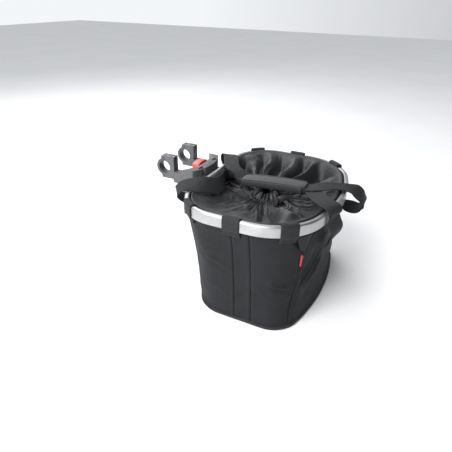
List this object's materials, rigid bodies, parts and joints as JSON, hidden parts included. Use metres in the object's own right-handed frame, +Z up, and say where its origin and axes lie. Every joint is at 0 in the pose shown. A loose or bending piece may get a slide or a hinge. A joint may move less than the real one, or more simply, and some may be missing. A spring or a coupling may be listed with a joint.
{
  "type": "handlebar basket",
  "caption": "Fabric basket on an aluminium rim with a drawstring cover and carrying straps, hung on a handlebar clamp with a release button.",
  "frame": {"origin": "on the handlebar's axis, midway between the two clamps", "axes": "+X along the handlebar, -Y forwards to the basket, +Z up"},
  "size_m": [0.3536, 0.4033, 0.24],
  "materials": {
    "adapter_plastic": "satin grey-black moulded plastic",
    "black_plastic": "matte black moulded plastic",
    "red_plastic": "semi-gloss",
    "bolt_steel": "zinc plated",
    "spring_steel": "bright",
    "rim_aluminium": "satin anodised",
    "bag_fabric": "coated plain-weave polyester over a stiffener",
    "cover_fabric": "light polyester with a slight sheen",
    "webbing": "woven polypropylene webbing",
    "grip_fabric": "coated fabric over foam",
    "red_fabric": "folded woven tag, plain",
    "cord": "braided"
  },
  "bodies": {
    "adapter": {"adapter_body": "adapter_plastic", "clamp_cap_left": "adapter_plastic", "clamp_cap_right": "adapter_plastic", "clamp_bolts": "bolt_steel", "clamp_nuts": "bolt_steel", "button_spring": "spring_steel", "latch_tongue": "black_plastic"},
    "button": {"release_button": "red_plastic"},
    "basket": {"hook_plate": "black_plastic", "backing_plate": "black_plastic", "plate_screws": "bolt_steel", "plate_nuts": "bolt_steel", "rim_rivets": "rim_aluminium", "rim_frame": "rim_aluminium", "rim_joiner": "rim_aluminium", "front_panel": "bag_fabric", "rear_panel": "bag_fabric", "side_front_left": "bag_fabric", "side_front_right": "bag_fabric", "side_band_left": "bag_fabric", "side_band_right": "bag_fabric", "side_rear_left": "bag_fabric", "side_rear_right": "bag_fabric", "base_panel": "bag_fabric", "base_board": "black_plastic", "base_binding": "webbing", "rim_loop_front_left": "webbing", "rim_loop_front_right": "webbing", "rim_loop_mid_left": "webbing", "rim_loop_mid_right": "webbing", "rim_loop_rear_left": "webbing", "rim_loop_rear_right": "webbing", "side_tag": "red_fabric", "cover": "cover_fabric", "mouth_hem": "cover_fabric", "drawstring": "cord", "cord_lock_body": "black_plastic", "cord_lock_spring": "spring_steel", "drawstring_tail_near": "cord", "drawstring_tail_far": "cord", "drawstring_knot": "cord", "handle_strap_left": "webbing", "handle_strap_right": "webbing"},
    "lock_button": {"cord_lock_button": "black_plastic"},
    "grip": {"carry_grip": "grip_fabric", "grip_closure": "grip_fabric"}
  },
  "joints": [
    {"name": "basket_lift", "type": "slide", "parent": "adapter", "child": "basket", "axis": [0, 0, 1], "range_m": [0, 0.062], "deforming": ["latch_tongue"]},
    {"name": "button_press", "type": "slide", "parent": "adapter", "child": "button", "axis": [0, 0, -1], "range_m": [0, 0.005], "stiffness_N_per_m": 600, "springref_m": -0.003, "deforming": ["button_spring"]},
    {"name": "grip_lift", "type": "slide", "parent": "basket", "child": "grip", "axis": [0, 0, 1], "range_m": [0, 0.08], "deforming": ["handle_strap_left", "handle_strap_right"]},
    {"name": "cord_lock_press", "type": "slide", "parent": "basket", "child": "lock_button", "axis": [0.8829, -0.4695, 0], "range_m": [0, 0.004], "stiffness_N_per_m": 500, "springref_m": -0.003, "deforming": ["cord_lock_spring"]}
  ]
}
